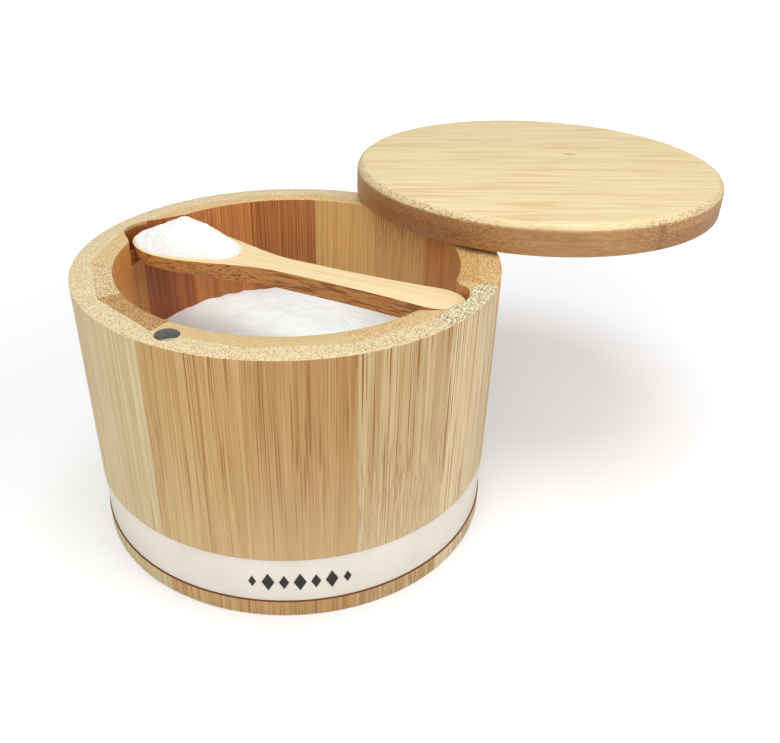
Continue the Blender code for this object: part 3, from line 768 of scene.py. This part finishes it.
# the upright tones darken the upright sides: partly the sawn edges' own tone, partly painted shade
lidLooks = {
    "lower": [dict(seed=10.1), dict(seed=10.5, upright="CAA07C"), dict(seed=11.3),
              dict(seed=12.2, upright="DAB898"), dict(seed=13.4), dict(seed=14.8)],
    "upper": [dict(seed=20.1), dict(seed=20.9, upright="DCB894"), dict(seed=21.7),
              dict(seed=22.6, upright="CCA27E"), dict(seed=23.1), dict(seed=24.3, upright="DCB894")],
}
lidBase = dict(sidePale="F0DEB2", sideMiddle="E4CE9C", sideDark="C89E62", endPale="F0DEAE",
               endDark="9C6C3C", dots=0.75, endFrom=0.1, edgeFleck=0.3, fleckDark="8E5A2C",
               rough=0.42, bump=0.12, line=0.45, broad=0.36,
               grainTurn=lidGrain, upright="D2AE8E", glueAndShadeDark="6E4422",
               glueAndShadeMarks=((lid["bottom"] + lid["ply"] - lid["glueMark"],
                       lid["bottom"] + lid["ply"] + lid["glueMark"], 0.00006, 0.45),),
               spotsAndShade=((0.0821, 0.0487, 0.0034, 0.0009, 0.85, "B88A50", False),
                      (0.0588, 0.0058, 0.0120, 0.0016, 0.50, "DCAC6A", False),
                      # painted shade on the lid's left edge
                      (0.0300, 0.0116, 0.0320, 0.0280, 0.50, "864A22", True),
                      (0.0883, -0.0056, 0.0020, 0.0016, 0.60, "8A5428", True)))


def makeLidStrip(ply, number):
    low = lid["bottom"] + (lid["ply"] if ply == "upper" else 0.0)
    shape = roundShape(lid["radius"], lid["ply"], lid["steps"])
    top = [e for e in shape.edges if all(v.co.z > 0 for v in e.verts)]
    under = [e for e in shape.edges if all(v.co.z < 0 for v in e.verts)]
    if ply == "upper":
        easeEdges(shape, top, lid["round"], lid["roundSteps"])
        easeEdges(shape, under, lid["glueEase"], 1)
    else:
        easeEdges(shape, top, lid["glueEase"], 1)
        easeEdges(shape, under, lid["underEase"], 2)
    bmesh.ops.translate(shape, verts=shape.verts, vec=(0, 0, lid["ply"] / 2))
    walls = lid["edges"]
    for wall, side in ((walls[number - 2] if number > 1 else None, -1.0),
                       (walls[number - 1] if number < lid["strips"] else None, 1.0)):
        if wall is None:
            continue
        spot = Vector((0.0, wall - side * lid["joint"] / 2, 0.0))
        slicePlane(shape, spot, (0.0, side, 0.0), clear_outer=True)
    bmesh.ops.rotate(shape, verts=shape.verts, cent=(0, 0, 0), matrix=Matrix.Rotation(lidGrain, 3, "Z"))
    bmesh.ops.translate(shape, verts=shape.verts, vec=(lidCentre.x, lidCentre.y, low))
    piece = finishShape(f"lid{ply.capitalize()}Strip{number}", shape, 30.0)
    across = Matrix.Rotation(-lidGrain, 3, "Z") @ (lidMagnetSpot - lidCentre)
    if ply == "lower":
        near = walls[number - 2] if number > 1 else -1.0
        far = walls[number - 1] if number < lid["strips"] else 1.0
        if near < across.y < far:
            cutRound(piece, lidMagnetSpot, magnet["bore"], magnet["lidBoreLow"],
                     lid["bottom"] + magnet["lidBore"])
    paint(piece, bamboo(f"bamboo_lid_{ply}_{number}", **{**lidBase, **lidLooks[ply][number - 1]}))
    place(piece, "lid", "bamboo_lid", f"lid_{ply}_strip_{number}")


lidMagnetSpot = pivotSpot + Matrix.Rotation(lid["open"], 3, "Z") @ (magnetSpot - pivotSpot)
for stripNumber in range(1, lid["strips"] + 1):
    makeLidStrip("lower", stripNumber)
    makeLidStrip("upper", stripNumber)
print("lid made")

# pin, washer and magnets

nickel = brushedMetal("magnet_nickel", ("8A8480", "A09A94"), 0.16)
steel = brushedMetal("pin_steel", ("A4A4A6", "BCBCBE"), 0.25)


def makeRound(name, spot, size, low, high, material, slotName, body, node, segments=64):
    shape = roundShape(size["radius"], high - low, segments)
    easeEdges(shape, sharpEdges(shape), size["ease"], 3)
    bmesh.ops.translate(shape, verts=shape.verts, vec=(spot.x, spot.y, (low + high) / 2))
    piece = finishShape(name, shape)
    paint(piece, material)
    place(piece, body, slotName, node)


makeRound("rimMagnet", magnetSpot, magnet, magnet["low"], magnet["high"], nickel, "nickel_magnet",
          "jar", "rim_magnet")
makeRound("lidMagnet", lidMagnetSpot, magnet, magnet["lidLow"], magnet["lidHigh"], nickel,
          "nickel_magnet", "lid", "lid_magnet")
makeRound("pivotPin", pivotSpot, pin, pin["low"], pin["high"], steel, "steel_pin", "jar", "pivot_pin")

washer = {"inside": 0.0018, "outside": 0.0040, "low": 0.0670, "high": 0.0674, "ease": 0.0001}


def makeWasher():
    piece = turnedRing("pivotWasher", washer, 48)
    shape = bmesh.new()
    shape.from_mesh(piece.data)
    easeEdges(shape, sharpEdges(shape), washer["ease"])
    bmesh.ops.translate(shape, verts=shape.verts, vec=(pivotSpot.x, pivotSpot.y, 0.0))
    shape.to_mesh(piece.data)
    shape.free()
    paint(piece, siliconeLook("washer_nylon", ("1C1A18", "262320"), 0.45, 2000.0))
    place(piece, "jar", "nylon_washer", "pivot_washer")


makeWasher()

# spoon

spoon = {
    "length": 0.08865, "tipReach": 0.04365, "top": 0.0649, "thick": 0.0043, "edgeHeight": 0.0028,
    "hullFull": 0.0170, "hullEnd": 0.0370, "hullInset": 0.42, "hullSteps": 3,
    "ease": 0.00042, "handleHalf": 0.00515, "endLength": 0.00665, "smooth": 16,
    "bowlWidest": 0.0135, "bowlHalf": 0.0099, "bowlPulls": (0.0065, 0.0240), "tipPull": 0.0054,
    "neckAlong": 0.0440, "neckHalf": 0.0038, "neckPulls": (0.0345, 0.0760),
    "handlePulls": (0.0050, 0.0037), "endPull": 0.0028,
}
# distance from the tip, half width and crest height of the heap on the spoon
heap = {"start": 0.0006, "length": 0.0301, "plan": 0.0307, "depth": 0.0017, "taper": 0.33,
        "hollowStart": 0.0012, "hollowHalf": 0.0080, "hollowShort": 0.0004, "hollowDeeper": 0.0002,
        "rootMiddle": 0.0146, "rootHalf": 0.0144, "rootWide": 0.0078,
        "slopeShare": 0.72, "slopePower": 1.7, "brimShare": 0.28, "brimPower": 6,
        "outline": ((0.0, 0.0), (0.0012, 0.0036), (0.0036, 0.0064), (0.0075, 0.0083), (0.0115, 0.0090),
                    (0.0155, 0.0088), (0.0195, 0.0077), (0.0235, 0.0062), (0.0270, 0.0050),
                    (0.0290, 0.0040), (0.0301, 0.0024), (0.0307, 0.0)),
        "crest": ((0.0, 0.0), (0.0010, 0.0006), (0.0030, 0.0016), (0.0055, 0.0027), (0.0100, 0.0046),
                  (0.0140, 0.0065), (0.0150, 0.0066), (0.0184, 0.0055), (0.0210, 0.0049),
                  (0.0225, 0.0041), (0.0240, 0.0035), (0.0265, 0.0032), (0.0290, 0.0026),
                  (0.0300, 0.0016), (0.0307, 0.0))}
spoonPlace = Matrix.Translation(spoonPoint(-spoon["tipReach"]) + Vector((0, 0, spoon["top"]))) \
    @ Matrix.Rotation(spoonTurn, 4, "Z")


def spoonCurve():
    # (point, handle before, handle after) down one side, tip to handle end
    length, half = spoon["length"], spoon["handleHalf"]
    shoulder = length - spoon["endLength"]
    back, on = spoon["handlePulls"]
    side = [((0.0, 0.0), (0.0, -spoon["tipPull"]), (0.0, spoon["tipPull"]))]
    for along, wide, before, after in (
            (spoon["bowlWidest"], spoon["bowlHalf"], *spoon["bowlPulls"]),
            (spoon["neckAlong"], spoon["neckHalf"], *spoon["neckPulls"]),
            (shoulder, half, shoulder - back, shoulder + on)):
        side.append(((along, wide), (before, wide), (after, wide)))
    side.append(((length, 0.0), (length, spoon["endPull"]), (length, -spoon["endPull"])))
    other = [tuple((x, -y) for x, y in (point, after, before))
             for point, before, after in reversed(side[1:-1])]
    curve, knots = flatCurve("spoonOutline", spoon["edgeHeight"], spoon["smooth"], len(side + other))
    for knot, (point, before, after) in zip(knots, side + other):
        knot.handle_left_type = knot.handle_right_type = "FREE"
        knot.co, knot.handle_left, knot.handle_right = (*point, 0), (*before, 0), (*after, 0)
    return curve


def between(table, value):
    # straight-line reading of a table of (place, amount)
    if value <= table[0][0]:
        return table[0][1]
    for (low, first), (high, second) in zip(table, table[1:]):
        if value <= high:
            return first + (second - first) * (value - low) / (high - low)
    return table[-1][1]


def hollowShape():
    # the scooped bowl: an egg-shaped lens below the spoon's top
    shape = bmesh.new()
    bmesh.ops.create_uvsphere(shape, u_segments=64, v_segments=32, radius=1.0)
    half = heap["length"] / 2 - heap["hollowShort"]
    for v in shape.verts:
        along, across, up = v.co
        v.co = (heap["hollowStart"] + half + half * along,
                heap["hollowHalf"] * across * (1.0 - heap["taper"] * along),
                (heap["depth"] + heap["hollowDeeper"]) * up)
    return shape


def heapShape(segments):
    # a ball laid out over the heap's plan, its upper half raised to the crest
    shape = bmesh.new()
    bmesh.ops.create_uvsphere(shape, u_segments=segments, v_segments=segments // 2, radius=1.0)
    for v in shape.verts:
        along, across, up = v.co
        chord = math.sqrt(max(0.0, 1.0 - along * along))
        side = max(-1.0, min(1.0, across / chord)) if chord > 0.0001 else 0.0
        down = heap["start"] + heap["plan"] * (1.0 + along) / 2
        if up > 0.0:
            rounded = (heap["slopeShare"] * (1.0 - abs(side) ** heap["slopePower"])
                       + heap["brimShare"] * (1.0 - abs(side) ** heap["brimPower"]))
            v.co = (down, between(heap["outline"], down) * side,
                    between(heap["crest"], down) * rounded)
        else:
            v.co = (heap["hollowStart"] + heap["rootMiddle"] + heap["rootHalf"] * along,
                    heap["rootWide"] * across * (1.0 - heap["taper"] * along),
                    heap["depth"] * up)
    return shape


def makeSpoon():
    shape = curveShape(spoonCurve())
    bmesh.ops.translate(shape, verts=shape.verts, vec=(0, 0, -spoon["edgeHeight"] / 2))
    # the underside goes down in steps, drawn in below the bowl
    low = min(v.co.z for v in shape.verts)
    under = [f for f in shape.faces if all(v.co.z < low + tiny["curve"] for v in f.verts)]
    kept = 1.0
    for step in range(1, spoon["hullSteps"] + 1):
        down = step / spoon["hullSteps"]
        wanted = 1.0 - spoon["hullInset"] * (1.0 - math.sqrt(1.0 - down * down))
        made = bmesh.ops.extrude_face_region(shape, geom=under)["geom"]
        bmesh.ops.delete(shape, geom=under, context="FACES")
        under = [part for part in made if isinstance(part, bmesh.types.BMFace)]
        for v in {v for face in under for v in face.verts}:
            left = max(0.0, min(1.0, (spoon["hullEnd"] - v.co.x) / (spoon["hullEnd"] - spoon["hullFull"])))
            drawnIn = left * left * (3.0 - 2.0 * left) * (1.0 - wanted / kept)
            v.co.y *= 1.0 - drawnIn
            v.co.x += drawnIn * max(0.0, spoon["bowlWidest"] - v.co.x)
            v.co.z -= (spoon["thick"] - spoon["edgeHeight"]) / spoon["hullSteps"]
        kept = wanted
    bmesh.ops.recalc_face_normals(shape, faces=shape.faces)
    easeEdges(shape, sharpEdges(shape, 62.0), spoon["ease"], 3)
    piece = finishShape("spoon", shape)
    cutWith(piece, finishShape("hollow", hollowShape()))
    piece.data.transform(spoonPlace)
    # the upright tone darkens the spoon's sides: partly their own tone, partly painted shade
    paint(piece, bamboo("bamboo_spoon", grainTurn=spoonTurn, seed=31.0, sidePale="F3DEB0",
                        sideMiddle="E8CB98", sideDark="C4945C", line=0.4, endPale="D2A066",
                        endDark="8E5A2E", upright="DCB086", edgeFleck=0.75, fleckDark="7E4C22"))
    place(piece, "spoon", "bamboo_spoon", "spoon")


makeSpoon()
print("spoon made")

# salt: the heap on the spoon and the bed in the cup

salt = {"grain": 0.00022, "heapGrains": 2600, "bedGrains": 3000, "level": 0.03852, "crown": 0.0030,
        "tilt": 0.0015, "highBearing": math.radians(-150.0), "floor": 0.0073, "gap": 0.00005,
        "rings": 44, "steps": 168, "sharp": 40.0, "grainSizes": (0.55, 1.15), "grainLift": 0.15,
        "grainSpread": 0.3, "heapRough": (0.00045, 0.00022), "bedRough": (0.0005, 0.00012)}
saltWhite = grainyWhite("salt_white", ("F1F1EF", "F8F8F7"), 3200.0, 0.35)
# the bed's glow is painted light that brightens it inside the cup
bedWhite = grainyWhite("salt_bed_white", ("ECF8FA", "F3FFFF"), 3200.0, 0.35, 0.14)


def roughen(verts, coarse, fine):
    for v in verts:
        spot = v.co * 1000.0
        v.co.z += coarse * noise.noise(spot * 0.35) + fine * noise.noise(spot * 1.6)


def scatterGrains(shape, faces, count, seed):
    # small cubes, half sunk in the surface
    rng = random.Random(seed)
    weights = [f.calc_area() for f in faces]
    spotsAndShade = [(f.calc_center_median(), f.normal.copy(), [v.co.copy() for v in f.verts])
             for f in rng.choices(faces, weights, k=count)]
    for centre, normal, corners in spotsAndShade:
        first = (rng.choice(corners) - centre) * rng.random()
        second = (rng.choice(corners) - centre) * salt["grainSpread"] * rng.random()
        spot = centre + first + second
        size = salt["grain"] * rng.uniform(*salt["grainSizes"])
        turn = Matrix.Rotation(rng.uniform(0, 6.3), 4, Vector((rng.uniform(-1, 1), rng.uniform(-1, 1), 1)))
        lifted = Matrix.Translation(spot + normal * size * salt["grainLift"])
        bmesh.ops.create_cube(shape, size=size, matrix=lifted @ turn)


def makeHeap():
    shape = heapShape(128)
    roughen([v for v in shape.verts if v.co.z > 0.0003], *salt["heapRough"])
    bmesh.ops.recalc_face_normals(shape, faces=shape.faces)
    scatterGrains(shape, [f for f in shape.faces if f.calc_center_median().z > 0.0001],
                  salt["heapGrains"], 4)
    piece = storeShape("spoonSalt", shape, salt["sharp"])
    piece.data.transform(spoonPlace)
    paint(piece, saltWhite)
    place(piece, "spoon", "salt", "spoon_salt")
    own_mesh(piece)


def makeBed():
    shape = bmesh.new()
    radius, rings = jar["cup"] - salt["gap"], salt["rings"]
    profile = []
    for ring in range(rings + 1):
        away = ring / rings
        height = salt["level"] + salt["crown"] * (1.0 + math.cos(math.pi * away)) / 2
        profile.append(shape.verts.new((radius * away, 0.0, height)))
    profile.append(shape.verts.new((radius, 0.0, salt["floor"])))
    profile.append(shape.verts.new((0.0, 0.0, salt["floor"])))
    sides = [shape.edges.new(pair) for pair in zip(profile, profile[1:])]
    bmesh.ops.spin(shape, geom=profile + sides, cent=(0, 0, 0), axis=upAxis, angle=2 * math.pi,
                   steps=salt["steps"], use_merge=True)
    bmesh.ops.remove_doubles(shape, verts=shape.verts, dist=tiny["curve"])
    high = bearingPoint(salt["tilt"] / radius, salt["highBearing"])
    surface = [v for v in shape.verts if v.co.z > 0.02]
    for v in surface:
        v.co.z += v.co.x * high.x + v.co.y * high.y
    roughen(surface, *salt["bedRough"])
    bmesh.ops.recalc_face_normals(shape, faces=shape.faces)
    scatterGrains(shape, [f for f in shape.faces if f.normal.z > 0.5], salt["bedGrains"], 9)
    piece = storeShape("saltBed", shape, salt["sharp"])
    paint(piece, bedWhite)
    place(piece, "jar", "salt", "salt_bed")


makeHeap()
makeBed()
print("salt made")

# floor, light and background

studio = {
    "sky": 0.41, "aim": (0.02, 0.0, 0.04), "paper": 0.70, "paperRough": 0.9, "half": 3.0,
    "drop": 0.0001, "floorGlow": 0.28, "glowSpan": (0.12, 0.60),
    "lamps": {"key": {"at": (-0.34, -0.62, 0.55), "size": 0.60, "watts": 2.7},
              "fill": {"at": (0.62, -0.35, 0.55), "size": 0.50, "watts": 2.3},
              "top": {"at": (0.03, -0.05, 1.05), "size": 0.56, "watts": 4.5}},
}


def makeStudio():
    shape = bmesh.new()
    bmesh.ops.create_grid(shape, x_segments=1, y_segments=1, size=studio["half"])
    ground = finishShape("studioFloor", shape)
    ground.location.z = -studio["drop"]
    material, tree, shader = newMaterial("paper_white")
    shader.inputs["Base Color"].default_value = (*[studio["paper"]] * 3, 1.0)
    shader.inputs["Roughness"].default_value = studio["paperRough"]
    shader.inputs["Emission Color"].default_value = (1.0, 1.0, 1.0, 1.0)
    rays = addNode(tree, "ShaderNodeLightPath")
    # the paper stays white far from the lamps too
    source = addNode(tree, "ShaderNodeTexCoord")
    glow = spreadOut(tree, lengthOf(tree, source.outputs["Object"]), *studio["glowSpan"],
                     studio["floorGlow"], 1.0)
    connect(tree, mathNode(tree, "MULTIPLY", rays.outputs["Is Camera Ray"], glow),
            shader.inputs["Emission Strength"])
    paint(ground, material)

    world = bpy.data.worlds.new("softRoom")
    bpy.context.scene.world = world
    world.use_nodes = True
    tree = world.node_tree
    rays = addNode(tree, "ShaderNodeLightPath")
    seen = mathNode(tree, "MAXIMUM", rays.outputs["Is Camera Ray"], rays.outputs["Is Transmission Ray"])
    strength = mathNode(tree, "ADD", mathNode(tree, "MULTIPLY", seen, 1.0 - studio["sky"]), studio["sky"])
    connect(tree, strength, tree.nodes["Background"].inputs["Strength"])
    tree.nodes["Background"].inputs["Color"].default_value = (1.0, 1.0, 1.0, 1.0)

    for name, setup in studio["lamps"].items():
        lamp = bpy.data.lights.new(name, "AREA")
        lamp.size = setup["size"]
        lamp.energy = setup["watts"]
        holder = addObject(name, lamp)
        holder.location = setup["at"]
        aim = Vector(studio["aim"]) - Vector(setup["at"])
        holder.rotation_euler = aim.to_track_quat("-Z", "Y").to_euler()


makeStudio()
bpy.context.scene.view_settings.view_transform = "Standard"
bpy.context.view_layer.update()


print("scene ready")
